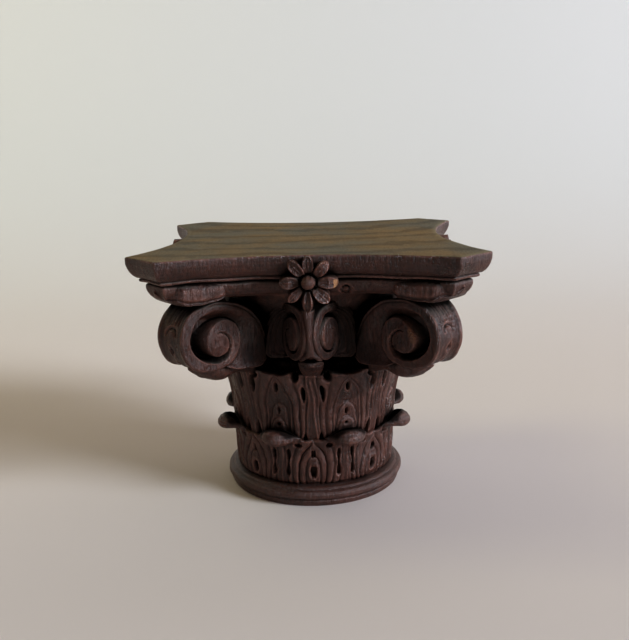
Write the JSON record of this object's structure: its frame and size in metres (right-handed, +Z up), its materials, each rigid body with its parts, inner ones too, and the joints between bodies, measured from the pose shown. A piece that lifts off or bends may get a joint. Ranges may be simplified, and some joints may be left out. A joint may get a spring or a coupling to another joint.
{
  "type": "wooden column capital",
  "caption": "Carved wooden column capital with leaf rings, corner scrolls, flowers and a hollow-sided square top on a round foot.",
  "frame": {"origin": "centre of the round underside, on the surface it stands on", "axes": "+Z up through the column, -Y towards the side seen in front, +X to that side's right"},
  "size_m": [0.2, 0.2, 0.16],
  "materials": {
    "stained_wood": "dark red-brown stained and waxed hardwood, worn lighter on raised edges, dusty in the hollows, bare end grain on top"
  },
  "bodies": {
    "root": {"capital": "stained_wood"}
  },
  "joints": []
}
